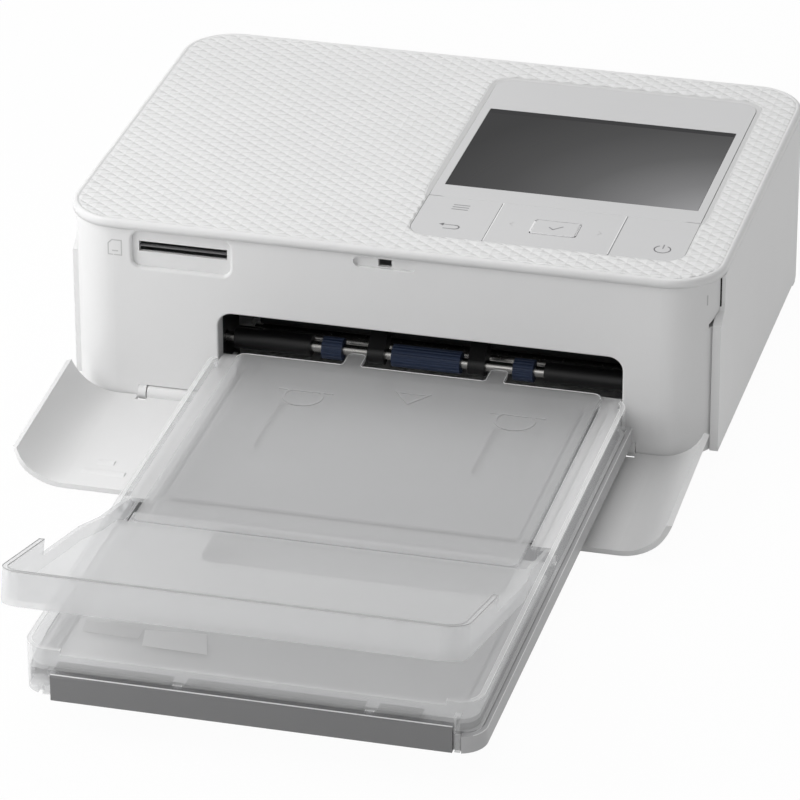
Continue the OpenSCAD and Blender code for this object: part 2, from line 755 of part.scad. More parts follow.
module platen_shaft() color("silver") {
    rod(platen_at, frame_lx - 0.4, frame_rx + frame_t + 0.4, shaft_r);
}

module platen_roller() color("black") tube(platen_at, paper_x - 53, paper_x + 53, platen_r, shaft_r + 0.02);

module thermal_head() color("silver") {
    y0 = platen_at[0];
    foot_z = platen_at[1] + platen_r + 0.3;
    block([paper_x - 53, y0 - 5, foot_z], [paper_x + 53, y0 + 5, foot_z + 3]);
    // cooling fins
    for (i = [0 : 4]) block([paper_x - 53, y0 - 5 + i * 2.25, foot_z + 3 - eps],
        [paper_x + 53, y0 - 4 + i * 2.25, foot_z + 10]);
}

module head_support() color("silver") {
    y0 = platen_at[0];
    block([paper_x - 50, y0 - 0.4, platen_at[1] + platen_r + 10.3], [paper_x + 50, y0 + 0.4, 50.4]);
    block([frame_lx + frame_t, y0 - 6, 50.4 - eps], [frame_rx, y0 + 6, 51.8]);
}

// Side plate outline in the Y-Z plane
module plate_outline() {
    polygon([[front_y + 6.2, floor_top], [front_y + 116, floor_top], [front_y + 116, 46],
        [front_y + 108, 51.9], [front_y + 41, 51.9], [front_y + 41, 50], [front_y + 34, 50],
        [front_y + 28, 40], [front_y + 10, 34], [front_y + 6.2, 30]]);
}

module frame_left() color("lightgray") difference() {
    translate([frame_lx, 0, 0]) rotate([90, 0, 90]) linear_extrude(frame_t) plate_outline();
    for (at = [capstan_at, platen_at]) rod(at, frame_lx - 1, frame_lx + 3, shaft_r + run_fit);
    for (at = [pickup_at, pinch_at]) rod(at, frame_lx - 1, frame_lx + 3, pickup_r + run_fit);
    for (at = [take_up_at, supply_at]) rod(at, frame_lx - 1, frame_lx + 3, 3 + run_fit);
    for (at = [idler_at, reduction_at]) rod(at, frame_lx - 1, frame_lx + 3, 1.52);
}

module frame_right() color("lightgray") difference() {
    translate([frame_rx, 0, 0]) rotate([90, 0, 90]) linear_extrude(frame_t) difference() {
        plate_outline();
        // window that the ink cassette goes through
        translate([front_y + 65, 36.3]) rrect(72, 26.6, 3);
    }
    for (at = [capstan_at, platen_at]) rod(at, frame_rx - 1, frame_rx + 3, shaft_r + run_fit);
    for (at = [pickup_at, pinch_at]) rod(at, frame_rx - 1, frame_rx + 3, pickup_r + run_fit);
}

module gear_studs() color("silver") {
    for (at = [idler_at, reduction_at]) rod(at, gear_x - 0.8, frame_lx + frame_t, 1.5);
}

module idler_gear() color("ivory") gear(idler_at, idler_n, idler_phase, 1.5 + run_fit);

module reduction_gear() color("ivory") gear(reduction_at, reduction_n, reduction_phase, 1.5 + run_fit);

module motor_pinion() color("goldenrod") {
    gear(pinion_at, pinion_n, pinion_phase, 0.9);
    rod(pinion_at, gear_x - 5, gear_x + gear_w + 0.3, 1);
}

module drive_motor() color("silver") difference() {
    union() {
        rod(pinion_at, -84, gear_x - 3.2, 10);
        rod(pinion_at, gear_x - 3.2 - eps, gear_x - 0.6, 3);
    }
    rod(pinion_at, gear_x - 6, gear_x, 1 + run_fit);
}

mount_posts = [polar(pinion_at, 15, 38), polar(pinion_at, 16.5, -65), polar(pinion_at, 17.5, 122)];

module motor_mount() color("gray") {
    x0 = gear_x - 3.2;
    difference() {
        translate([x0, 0, 0]) rotate([90, 0, 90]) linear_extrude(1.4)
            polygon([for (a = [38, 122, 180, 240, 295]) polar(pinion_at, 20.5, a)]);
        rod(pinion_at, x0 - 1, x0 + 3, 3.1);
    }
    for (at = mount_posts) rod(at, x0 + 1.3, frame_lx, 1.8);
}

module take_up_spindle() color("ivory") {
    rod(take_up_at, gear_x - 0.5, frame_lx + frame_t + 0.4, 3);
    rod(take_up_at, frame_lx + frame_t + 0.3, frame_lx + frame_t + 7, 4.6);
    for (a = [0 : 60 : 300]) rotate_about(take_up_at, a)
        block([frame_lx + frame_t + 0.3, 4.2, -0.5], [frame_lx + frame_t + 6, 5.4, 0.5]);
}

// Turns children drawn about the X axis by a and moves them to [y, z]
module rotate_about(at, a) {
    translate([0, at[0], at[1]]) rotate([a, 0, 0]) children();
}

module take_up_gear() color("ivory") gear(take_up_at, idler_n, take_up_phase, 3.02);

module supply_spindle() color("ivory") {
    rod(supply_at, frame_lx - 0.8, frame_lx + frame_t + 0.4, 3);
    rod(supply_at, frame_lx + frame_t + 0.3, frame_lx + frame_t + 7, 4.6);
    rod(supply_at, frame_lx - 2.4, frame_lx - 0.7, 5);
    for (a = [0 : 60 : 300]) rotate_about(supply_at, a)
        block([frame_lx + frame_t + 0.3, 4.2, -0.5], [frame_lx + frame_t + 6, 5.4, 0.5]);
}

// ---------- electronics ----------

module main_board() color("green") {
    block([-85, front_y + 84, floor_top], [-83.4, front_y + 116, 50]);
    for (i = [0 : 2]) block([-83.4 - eps, front_y + 88 + i * 9, 14], [-80.6, front_y + 94 + i * 9, 22]);
    for (z = [30, 38]) translate([-83.4, front_y + 100, z]) rotate([0, 90, 0]) cylinder(r = 3.2, h = 8);
}

module card_reader() color("silver") difference() {
    block([slot_x - 14, front_y + 3.3, slot_z - 2.7], [slot_x + 14, front_y + 26.5, slot_z + 2.7]);
    block([slot_x - 12.3, front_y + 2, slot_z - 1.45], [slot_x + 12.3, front_y + 25.4, slot_z + 1.45]);
}

module dc_inlet() color("black") difference() {
    union() {
        block([-73, back_y - 15, 17], [-63, back_y - 2.5, 27]);
        translate([-68, back_y - 0.6, 22]) rotate([90, 0, 0]) cylinder(r = 4.5, h = 3);
    }
    translate([-68, back_y + 1, 22]) rotate([90, 0, 0]) difference() {
        cylinder(r = 2.9, h = 12);
        translate([0, 0, 2]) cylinder(r = 0.8, h = 12);
    }
}

module usb_port() color("silver") {
    translate([-68, back_y - 0.4, 40]) rotate([90, 0, 0]) difference() {
        linear_extrude(9) rrect(9.2, 3.4, 1.6);
        translate([0, 0, -1]) linear_extrude(7.5) rrect(8.4, 2.6, 1.2);
    }
    translate([-71, back_y - 8.2, 39.65]) cube([6, 6.4, 0.7]);
}

// ---------- cassette ----------

// Plan of the cassette's wide part, drawn in by inset, between y0 and y1
module cassette_plan(inset, y0, y1) {
    front = cas_front + inset;
    intersection() {
        translate([cassette_x, (front + front_y + 40) / 2])
            rrect(cassette_w - 2 * inset, front_y + 40 - front, cas_r - inset);
        translate([cassette_x - cas_half - 1, y0]) square([cassette_w + 2, y1 - y0]);
    }
}

// Block with half width hh about the paper path's middle
module slab(hh, ya, yb, za, zb) {
    block([paper_x - hh, ya, za], [paper_x + hh, yb, zb]);
}

// Plan of the clear frame: like the base's, but its front stands further back
module frame_plan(inset) {
    front = frame_front + inset;
    translate([cassette_x, (front + cas_wide_back - inset) / 2])
        rrect(cassette_w - 2 * frame_inset - 2 * inset, cas_wide_back - front - inset, 6 - inset);
}

// Grey lower shell: a tray with a low rim and a narrower tongue that enters the printer
module cassette_base() color("gray") {
    difference() {
        union() {
            translate([0, 0, cassette_z]) linear_extrude(base_h)
                cassette_plan(0, cas_front, cas_wide_back);
            slab(cas_neck, cas_wide_back - 1, cas_back, cassette_z, cassette_z + base_h - 1);
        }
        translate([0, 0, cassette_z + base_t]) linear_extrude(10)
            cassette_plan(1.4, cas_front + 3, cas_wide_back - 1.6);
        slab(cas_bore, cas_wide_back - 3, cas_back - 1.4, cassette_z + base_t, cassette_z + 10);
        // the strip stands in this notch
        block([strip_x0 - 0.2, cas_front - 1, cassette_z - 1],
            [strip_x1 + 2.2, cas_front + 1.6, cassette_z + 10]);
        // the left front corner is left to the clear frame
        block([cassette_x - cas_half - 1, cas_front - 1, cassette_z - 1],
            [strip_x0 - 0.1, cas_front + 9, cassette_z + 10]);
        translate([cassette_x - cas_half, cas_front, cassette_z - 1]) linear_extrude(base_h + 2)
            polygon([[-1, 8], [1.1, 8], [1.1, 9], [0, 26], [-1, 26]]);
        // grip slots in the underside
        for (i = [-2 : 2]) translate([cassette_x + i * 16, front_y - 120, cassette_z - 1])
            linear_extrude(1.5) rrect(4, 30, 1.9);
    }
}

// Clear upper frame: side walls, a fixed plate over the front half and ledges behind it
module cassette_frame() color("lightgray", 0.6) {
    z0 = cassette_z + base_h;
    difference() {
        union() {
            translate([0, 0, z0]) linear_extrude(cassette_top - z0) difference() {
                frame_plan(0);
                frame_plan(frame_wall);
            }
            // fixed plate with its window
            translate([0, 0, plate_top - plate_t]) linear_extrude(plate_t) difference() {
                intersection() {
                    frame_plan(frame_wall - eps);
                    translate([-half_w, cas_front]) square([body_w, front_y - 86 - cas_front]);
                }
                translate([19, front_y - 97.5]) rrect(80, 19, 4.5);
                // room for the lid's arms
                for (s = [-1, 1]) translate([cassette_x + s * (arm_half + 1), pivot_at[0]])
                    square([6, 9], center = true);
            }
            // ledges and inner rails beside the paper
            for (s = [-1, 1]) {
                translate([cassette_x + s * (cas_half - frame_inset - 4.2), 0, 0])
                    block([-3.4, front_y - 83, ledge_top - 1.1], [3.4, cas_wide_back - 1.1, ledge_top]);
                translate([cassette_x + s * (cas_bore + 0.6), 0, 0])
                    block([-0.5, frame_front + 1, z0 + eps], [0.5, front_y - 86, plate_top - plate_t + eps]);
                translate([cassette_x + s * (cas_bore + 0.6), 0, 0])
                    block([-0.5, front_y - 83, z0 + eps], [0.5, cas_wide_back - 1, ledge_top - 1]);
            }
            // narrow rear end inside the printer: side walls that drop below the rollers, and ledges
            for (s = [0, 1]) translate([paper_x, 0, 0]) mirror([s, 0, 0]) {
                translate([-cas_neck, 0, 0]) rotate([90, 0, 90]) linear_extrude(1.2)
                    polygon([[cas_wide_back, z0 - 1], [cas_back, z0 - 1], [cas_back, 14.4],
                        [front_y + 6.5, 15], [front_y + 4.4, 18], [front_y + 3.4, ledge_top],
                        [cas_wide_back - 1.2, ledge_top], [cas_wide_back - 1.2, z0], [cas_wide_back, z0]]);
                block([-cas_neck, cas_wide_back - 1.2, ledge_top - 1.1], [-50.3, front_y + 3.4, ledge_top]);
            }
            // low rear cross bar
            slab(cas_neck, cas_back - 1.2, cas_back, z0 - 1, 13.6);
            // left front corner, down to the underside
            translate([0, 0, cassette_z + 0.2]) linear_extrude(base_h) intersection() {
                frame_plan(0);
                translate([cassette_x - cas_half, cas_front]) square([strip_x0 - 0.4 - cassette_x + cas_half, 8.8]);
            }
            // posts that meet the strip
            for (x = [-8.6, 40]) block([x, cas_front + 1.6, cassette_z + base_h],
                [x + 2.2, frame_front + 1, plate_top]);
            // lug beside the right front corner
            block([strip_x1 + 0.5, cas_front + 0.3, cassette_z + 0.1],
                [strip_x1 + 1.9, cas_front + 1.5, plate_top + 2.5]);
            block([strip_x1 + 0.5, cas_front + 1.4, z0], [strip_x1 + 1.9, frame_front + 1, plate_top + 2.5]);
        }
        // front wall lower between the corners
        block([strip_x0 + 2, cas_front - 1, frame_low], [strip_x1 - 2, frame_front + 4, cassette_top + 1]);
        // opening towards the printer, between and above the ledges
        slab(cas_neck - 1.2, cas_wide_back - 3, cas_wide_back + 1, z0 - 2, ledge_top - 1.1);
        slab(50.3, cas_wide_back - 3, cas_wide_back + 1, z0 - 2, cassette_top + 1);
        slab(cas_neck + 1, cas_wide_back - 3, cas_wide_back + 1, ledge_top, cassette_top + 1);
        // hollow of the left corner
        block([cassette_x - cas_half + 2.4, cas_front + 3.8, cassette_z + 1.6],
            [strip_x0 - 1.8, cas_front + 12, plate_top - plate_t]);
        // hook slot under it
        block([cassette_x - cas_half + 5, cas_front, cassette_z - 1],
            [cassette_x - cas_half + 6.2, cas_front + 4, cassette_z + 2.4]);
        // pivot holes of the tray lid
        rod(pivot_at, cassette_x - cas_half - 1, cassette_x + cas_half + 1, pivot_r + run_fit);
    }
}

module front_strip() color("gray") {
    block([strip_x0, cas_front, cassette_z], [strip_x1, cas_front + 1.4, cassette_z + strip_h - 0.7]);
    rod([cas_front + 0.7, cassette_z + strip_h - 0.7], strip_x0, strip_x1, 0.7);
    // beads that catch on the base
    for (x = [-20, 10, 40]) block([x, cas_front + 1.3, cassette_z + 1],
        [x + 6, cas_front + 1.6, cassette_z + 2]);
}

// Plate that lifts the paper to the rollers
module paper_plate() color("darkgray") {
    z0 = cassette_z + base_t + 0.4;
    difference() {
        slab(cas_bore - 1.2, front_y - 66, cas_back - 2, z0, z0 + 0.8);
        for (dx = [-30, 30]) translate([paper_x + dx, front_y - 20, 0]) linear_extrude(30) rrect(14, 30, 3);
    }
}

// Finger mark: a D on its back, with its straight side drawn on past both ends
module finger_mark() {
    difference() {
        half_moon(5.6, 3.6);
        half_moon(4.9, 2.9);
    }
    translate([0, 3.25]) square([15.2, 0.7], center = true);
}

// Circle cut off straight at y = top
module half_moon(r, top) {
    intersection() {
        circle(r);
        translate([-r, top - 2 * r]) square(2 * r);
    }
}

// Tab at the lid's rear edge with filleted roots, its middle at x = 0 and the edge at y = 0
module lid_tab() {
    translate([0, 2.15]) rrect(4.9, 10.3, 1.6);
    for (s = [0, 1]) mirror([s, 0, 0]) difference() {
        translate([2.4, -0.1]) square([1.1, 1.1]);
        translate([3.5, 1]) circle(1.05);
    }
}

// Lid over the rear half of the paper
module inner_lid() color("lightgray", 0.6) {
    half = 50.8;
    back = front_y + 2;
    translate([0, 0, lid_z]) {
        linear_extrude(lid_t) {
            translate([paper_x, (lid_split + back) / 2]) rrect(2 * half, back - lid_split, 2.5);
            for (x = [-9.6, 30.3]) translate([x, back]) lid_tab();
        }
        // turned-down edge rails
        for (s = [-1, 1]) translate([paper_x + s * 47.5, 0, 0])
            block([-0.5, lid_split + 16, -1.6], [0.5, back - 9, eps]);
        // raised finger marks and arrow
        for (x = [-17.3, 41.2]) translate([x, front_y - 19.3, lid_t - eps])
            linear_extrude(0.25) finger_mark();
        translate([11, front_y - 10.1, lid_t - eps]) linear_extrude(0.25) difference() {
            polygon([[-5, 0], [5, 0], [0, -7]]);
            polygon([[-3.7, -0.7], [3.7, -0.7], [0, -5.9]]);
        }
    }
}

// Plan of the tray lid in its own frame: the pivot is at 0 and the end wall at -tray_l
module tray_outline(inset) {
    w = tray_half - inset;
    n = arm_half - inset;
    wide = arm_l + taper_l;
    translate([0, -(tray_l + wide) / 2]) rrect(2 * w, tray_l - wide - 2 * inset, 6 - inset);
    polygon([[-w, -wide - 10], [w, -wide - 10], [w, -wide], [n, -arm_l], [n, 0], [-n, 0],
        [-n, -arm_l], [-w, -wide]]);
}

// Lid over the cassette, folded out to the front as the tray for finished prints
module outer_lid() color("lightgray", 0.6) {
    translate([cassette_x, pivot_at[0], pivot_at[1]]) rotate([-tray_angle, 0, 0])
        translate([0, 0, -pivot_rise]) {
            difference() {
                linear_extrude(tray_wall) tray_outline(0);
                translate([0, 0, tray_t]) linear_extrude(tray_wall) tray_outline(tray_t);
                // low side rails between the return walls and the pivots
                block([-80, -tray_l + 34, tray_rail], [80, 10, 30]);
                // open at the pivot end
                block([-arm_half + tray_t, -tray_floor_from, -1], [arm_half - tray_t, 10, 30]);
                block([-80, -0.1, -1], [80, 10, 30]);
            }
            // arms with round ends and stub pivots
            for (s = [0, 1]) mirror([s, 0, 0]) {
                rod([0, tray_rail / 2], -arm_half, -arm_half + tray_t, tray_rail / 2);
                rod([0, pivot_rise], -arm_half - 1.4, -arm_half + 1, pivot_r);
            }
            // ribs on the end wall
            for (x = [-39.5, 32, 41]) block([x, -tray_l + 1, 1], [x + 0.9, -tray_l + 2.2, tray_wall - 1]);
        }
}

bottom_chassis();
front_panel();
top_cover();
left_side_panel();
rear_panel();
control_panel();
lcd_window();
lcd_module();
key_board();
menu_back_key();
navigation_membrane();
navigation_key();
ok_button();
power_key();
card_reader();
slot_cover();
slot_cover_pins();
ink_door();
ink_door_pin();
paper_throat();
roller_beam();
pickup_shaft();
center_roller();
side_rollers();
shaft_sleeves();
pickup_gear();
capstan_roller();
capstan_gear();
pinch_roller();
platen_shaft();
platen_roller();
thermal_head();
head_support();
frame_left();
frame_right();
gear_studs();
idler_gear();
reduction_gear();
motor_pinion();
drive_motor();
motor_mount();
take_up_spindle();
take_up_gear();
supply_spindle();
main_board();
dc_inlet();
usb_port();
rubber_feet();
case_screws();
cassette_base();
cassette_frame();
front_strip();
paper_plate();
inner_lid();
outer_lid();
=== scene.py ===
import json
import math

import bpy
import numpy as np
from mathutils import Matrix, Vector


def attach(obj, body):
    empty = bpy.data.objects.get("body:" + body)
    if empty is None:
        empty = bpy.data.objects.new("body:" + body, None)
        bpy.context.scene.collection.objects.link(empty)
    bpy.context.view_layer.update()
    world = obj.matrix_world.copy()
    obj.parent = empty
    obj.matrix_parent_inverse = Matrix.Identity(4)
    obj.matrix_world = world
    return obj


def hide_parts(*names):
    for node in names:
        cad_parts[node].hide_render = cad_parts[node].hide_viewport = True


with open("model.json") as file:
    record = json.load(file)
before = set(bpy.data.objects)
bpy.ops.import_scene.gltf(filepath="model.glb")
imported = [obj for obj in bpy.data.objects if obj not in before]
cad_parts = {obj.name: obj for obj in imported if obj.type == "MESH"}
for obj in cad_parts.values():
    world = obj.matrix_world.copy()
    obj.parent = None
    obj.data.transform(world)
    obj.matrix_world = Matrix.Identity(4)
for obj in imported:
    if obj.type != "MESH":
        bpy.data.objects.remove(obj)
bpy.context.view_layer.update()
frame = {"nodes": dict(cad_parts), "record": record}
NODES = frame["nodes"]
MM = 0.001

# Main sizes of the CAD frame, in millimetres
FRONT = 26.551                # printer's front plane
PANEL = 57.2                  # upper face of the control panel
PANEL_X = (3.2, 78.9)
PANEL_Y = (FRONT + 12.1, FRONT + 119.5)
KEY_X = 41.6                  # middle of the navigation and confirm keys
PLATE = (16.41, 16.44)        # marks that lie on the cassette's plate


# ---------------------------------------------------------------- materials

def new_material(name):
    mat = bpy.data.materials.new(name)
    mat.use_nodes = True
    tree = mat.node_tree
    tree.nodes.clear()
    return mat, tree


def add(tree, kind, **inputs):
    node = tree.nodes.new(kind)
    for key, value in inputs.items():
        name = key.replace("_", " ")
        if name in node.inputs:
            node.inputs[name].default_value = value
        else:
            setattr(node, key, value)
    return node


def out(tree, shader):
    end = tree.nodes.new("ShaderNodeOutputMaterial")
    tree.links.new(shader, end.inputs["Surface"])


def noise(tree, scale, detail=4.0, rough=0.55):
    coord = tree.nodes.new("ShaderNodeTexCoord")
    tex = add(tree, "ShaderNodeTexNoise", Scale=scale, Detail=detail, Roughness=rough)
    tree.links.new(coord.outputs["Object"], tex.inputs["Vector"])
    return tex.outputs["Fac"]


def spread(tree, value, low, high):
    """Maps 0.3..0.7 of a noise to low..high."""
    node = add(tree, "ShaderNodeMapRange")
    node.inputs["From Min"].default_value = 0.3
    node.inputs["From Max"].default_value = 0.7
    node.inputs["To Min"].default_value = low
    node.inputs["To Max"].default_value = high
    tree.links.new(value, node.inputs["Value"])
    return node.outputs["Result"]


def plastic(name, color, rough=0.4, grain=0.02, grain_scale=2600, coat=0.0, metal=0.0, vary=0.012, ior=1.46):
    mat, tree = new_material(name)
    bsdf = add(tree, "ShaderNodeBsdfPrincipled", Metallic=metal, IOR=ior)
    bsdf.inputs["Coat Weight"].default_value = coat
    bsdf.inputs["Coat Roughness"].default_value = 0.06
    fine = noise(tree, grain_scale, 3.0)
    wide = noise(tree, 24, 3.0)
    tint = tree.nodes.new("ShaderNodeMix")
    tint.data_type = "RGBA"
    tree.links.new(spread(tree, wide, 0.0, 1.0), tint.inputs[0])
    tint.inputs[6].default_value = (*[c * (1 - vary) for c in color], 1)
    tint.inputs[7].default_value = (*[min(1, c * (1 + vary)) for c in color], 1)
    tree.links.new(tint.outputs[2], bsdf.inputs["Base Color"])
    tree.links.new(spread(tree, fine, rough * 0.9, rough * 1.1), bsdf.inputs["Roughness"])
    bump = add(tree, "ShaderNodeBump", Strength=1.0, Distance=grain * MM)
    tree.links.new(fine, bump.inputs["Height"])
    tree.links.new(bump.outputs["Normal"], bsdf.inputs["Normal"])
    out(tree, bsdf.outputs["BSDF"])
    return mat


def frosted(name, body, veil, wall_veil, rough=0.30, grain=0.012, glow_share=0.45):
    """Milky clear plastic: each surface lays a pale scattering veil over what lies behind it.

    Level sheets are textured and milkier than upright walls."""
    mat, tree = new_material(name)
    skin = add(tree, "ShaderNodeBsdfPrincipled", Roughness=rough, IOR=1.49)
    skin.inputs["Base Color"].default_value = (*body, 1)
    glow = add(tree, "ShaderNodeBsdfTranslucent")
    glow.inputs["Color"].default_value = (*body, 1)
    milk = add(tree, "ShaderNodeMixShader", Fac=glow_share)
    tree.links.new(skin.outputs["BSDF"], milk.inputs[1])
    tree.links.new(glow.outputs["BSDF"], milk.inputs[2])
    see = add(tree, "ShaderNodeBsdfTransparent")
    see.inputs["Color"].default_value = (0.975, 0.977, 0.98, 1)
    mix = add(tree, "ShaderNodeMixShader")
    coord = tree.nodes.new("ShaderNodeTexCoord")
    parts = tree.nodes.new("ShaderNodeSeparateXYZ")
    tree.links.new(coord.outputs["Normal"], parts.inputs["Vector"])
    level = add(tree, "ShaderNodeMath", operation="ABSOLUTE")
    tree.links.new(parts.outputs["Z"], level.inputs[0])
    facing = add(tree, "ShaderNodeMapRange")
    facing.inputs["From Min"].default_value = 0.3
    facing.inputs["From Max"].default_value = 0.9
    facing.inputs["To Min"].default_value = wall_veil
    facing.inputs["To Max"].default_value = veil
    tree.links.new(level.outputs["Value"], facing.inputs["Value"])
    tree.links.new(facing.outputs["Result"], mix.inputs["Fac"])
    tree.links.new(see.outputs["BSDF"], mix.inputs[1])
    tree.links.new(milk.outputs["Shader"], mix.inputs[2])
    fine = noise(tree, 1800, 3.0)
    bump = add(tree, "ShaderNodeBump", Strength=1.0, Distance=grain * MM)
    tree.links.new(fine, bump.inputs["Height"])
    tree.links.new(bump.outputs["Normal"], skin.inputs["Normal"])
    out(tree, mix.outputs["Shader"])
    return mat


def screen(name):
    """Dark screen glass with a painted reflection: its colour lightens towards its front right corner."""
    mat, tree = new_material(name)
    bsdf = add(tree, "ShaderNodeBsdfPrincipled", Roughness=0.10, IOR=1.45)
    # painted reflection: the glass colour ramps from dark to pale grey nearer its front right corner
    coord = tree.nodes.new("ShaderNodeTexCoord")
    reach = add(tree, "ShaderNodeVectorMath", operation="DISTANCE")
    tree.links.new(coord.outputs["Object"], reach.inputs[0])
    reach.inputs[1].default_value = (84 * MM, (FRONT + 38) * MM, PANEL * MM)
    along = add(tree, "ShaderNodeMapRange")
    along.inputs["From Min"].default_value = 0.0
    along.inputs["From Max"].default_value = 0.085
    tree.links.new(reach.outputs["Value"], along.inputs["Value"])
    painted_reflection_ramp = tree.nodes.new("ShaderNodeValToRGB")
    stops = painted_reflection_ramp.color_ramp.elements
    stops[0].color = (0.44, 0.44, 0.45, 1)
    stops[1].color = (0.028, 0.028, 0.029, 1)
    for at, tone in ((0.30, 0.215), (0.52, 0.105), (0.75, 0.056)):
        stops.new(at).color = (tone, tone, tone * 1.02, 1)
    tree.links.new(along.outputs["Result"], painted_reflection_ramp.inputs["Fac"])
    tree.links.new(painted_reflection_ramp.outputs["Color"], bsdf.inputs["Base Color"])
    out(tree, bsdf.outputs["BSDF"])
    return mat


M = {
    "white": plastic("satin_white", (0.80, 0.80, 0.80), 0.42, 0.004),
    "field": plastic("field_white", (0.80, 0.80, 0.80), 0.38, 0.004),
    "panel": plastic("panel_grey", (0.73, 0.73, 0.735), 0.12, 0.001, coat=0.4),
    # grey of the printed signs, also used as painted shade in the key gap and beside the confirm key
    "ink": plastic("legend_grey_and_painted_gap_shade", (0.30, 0.30, 0.31), 0.3, 0.0),
    # grey of the navigation and card signs, and painted shade for the embossed corner mark
    "emboss": plastic("mark_grey_and_painted_relief_shade", (0.56, 0.56, 0.56), 0.4, 0.0),
    "screen": screen("screen_glass"),
    "bezel": plastic("screen_border", (0.02, 0.02, 0.022), 0.15, 0.0),
    "black": plastic("black_resin", (0.006, 0.006, 0.0065), 0.42, 0.01, vary=0.1),
    "blue": plastic("roller_blue", (0.020, 0.034, 0.075), 0.55, 0.02, vary=0.1),
    "steel": plastic("shaft_steel", (0.60, 0.59, 0.57), 0.25, 0.003, metal=1.0),
    "sheet": plastic("plated_sheet", (0.56, 0.57, 0.58), 0.35, 0.01, metal=1.0),
    "alloy": plastic("heat_sink_alloy", (0.62, 0.63, 0.64), 0.4, 0.01, metal=1.0),
    "rubber": plastic("black_rubber", (0.02, 0.02, 0.02), 0.75, 0.03, vary=0.1),
    "foot": plastic("foot_rubber", (0.16, 0.16, 0.165), 0.8, 0.04),
    "resin": plastic("gear_resin", (0.72, 0.69, 0.60), 0.4, 0.01),
    "brass": plastic("pinion_brass", (0.70, 0.52, 0.25), 0.3, 0.005, metal=1.0),
    "board": plastic("solder_mask", (0.02, 0.13, 0.055), 0.3, 0.004, vary=0.08),
    "base": plastic("cassette_grey", (0.50, 0.50, 0.505), 0.45, 0.01),
    "strip": plastic("strip_grey", (0.21, 0.21, 0.213), 0.42, 0.01),
    "clear": frosted("frosted_wall", (0.94, 0.94, 0.94), 0.60, 0.24, glow_share=0.12),
    "lid": frosted("frosted_lid", (0.80, 0.80, 0.80), 0.36, 0.30, glow_share=0.22),
    "tray": frosted("frosted_tray", (0.92, 0.92, 0.92), 0.37, 0.27, glow_share=0.14),
    # painted highlight: bright material for strips at the key gaps, beside the confirm key and along the frosted
    # parts' edges
    "edge": plastic("edge_painted_highlight", (0.92, 0.92, 0.92), 0.25, 0.0),
    # painted shade: grey material for lines on the tray lid's end wall edges
    "rim": plastic("edge_painted_shade", (0.44, 0.44, 0.44), 0.35, 0.0),
    "patch": plastic("moulded_patch", (0.58, 0.58, 0.58), 0.4, 0.0),
    "label": plastic("moulded_label", (0.66, 0.66, 0.66), 0.4, 0.0),
    "under": plastic("strip_shadow", (0.30, 0.30, 0.30), 0.5, 0.0),
    # painted shade: darker tone for the sloped band round the panel
    "band": plastic("panel_band_painted_shade", (0.66, 0.66, 0.66), 0.35, 0.002),
    "shade": plastic("gap_shade", (0.004, 0.004, 0.004), 0.8, 0.0),
}

SLOT_MATERIAL = {
    "body_white": "white", "panel_gloss": "panel", "screen_glass": "screen", "black_plastic": "black",
    "circuit_board": "board", "black_rubber": "rubber", "sheet_steel": "sheet", "steel_bar": "steel",
    "blue_rubber": "blue", "gear_resin": "resin", "cast_alloy": "alloy", "pinion_brass": "brass",
    "grey_rubber": "foot", "cassette_grey": "base", "frosted_clear": "clear", "strip_grey": "strip",
}
for part in frame["record"]["subparts"]:
    piece = NODES[part["node"]]
    piece.data.materials.clear()
    piece.data.materials.append(M[SLOT_MATERIAL[part["material_slot"]]])
NODES["inner_lid"].data.materials[0] = M["lid"]
NODES["outer_lid"].data.materials[0] = M["tray"]


# ---------------------------------------------------------------- geometry helpers

def mesh(name, verts, faces, mat, body, smooth=False):
    """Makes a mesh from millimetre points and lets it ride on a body."""
    data = bpy.data.meshes.new(name)
    data.from_pydata([tuple(c * MM for c in v) for v in verts], [], faces)
    data.update()
    if smooth:
        data.polygons.foreach_set("use_smooth", [True] * len(data.polygons))
    data.materials.append(mat)
    obj = bpy.data.objects.new(name, data)
    bpy.context.scene.collection.objects.link(obj)
    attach(obj, body)
    return obj


def extrude(loop, z0, z1):
    """Closed prism over a counter-clockwise loop of (x, y)."""
    n = len(loop)
    verts = [(x, y, z0) for x, y in loop] + [(x, y, z1) for x, y in loop]
    faces = [tuple(range(n - 1, -1, -1)), tuple(range(n, 2 * n))]
    faces += [(i, (i + 1) % n, n + (i + 1) % n, n + i) for i in range(n)]
    return verts, faces


def stroke(points, width, closed=False):
    """Flat ribbon of quads along points, as pairs of loops, each a small quad."""
    quads = []
    pts = list(points) + ([points[0]] if closed else [])
    for a, b in zip(pts, pts[1:]):
        d = Vector((b[0] - a[0], b[1] - a[1]))
        if d.length < 1e-6:
            continue
        d.normalize()
        n = Vector((-d.y, d.x)) * width / 2
        e = d * width * 0.2
        quads.append([(a[0] - e.x - n.x, a[1] - e.y - n.y), (b[0] + e.x - n.x, b[1] + e.y - n.y),
                      (b[0] + e.x + n.x, b[1] + e.y + n.y), (a[0] - e.x + n.x, a[1] - e.y + n.y)])
    return quads


def arc(cx, cy, r, a0, a1, steps=20, squash=1.0):
    return [(cx + r * math.cos(math.radians(a0 + (a1 - a0) * i / steps)),
             cy + r * squash * math.sin(math.radians(a0 + (a1 - a0) * i / steps))) for i in range(steps + 1)]


def marks(name, loops, z0, z1, mat, body, slot, place=None):
    """One mesh of many small prisms."""
    verts, faces = [], []
    for loop in loops:
        v, f = extrude(loop, z0, z1)
        base = len(verts)
        verts += v
        faces += [tuple(i + base for i in face) for face in f]
    if place:
        verts = [tuple(place(Vector(v))) for v in verts]
    return mesh(name, verts, faces, mat, body)


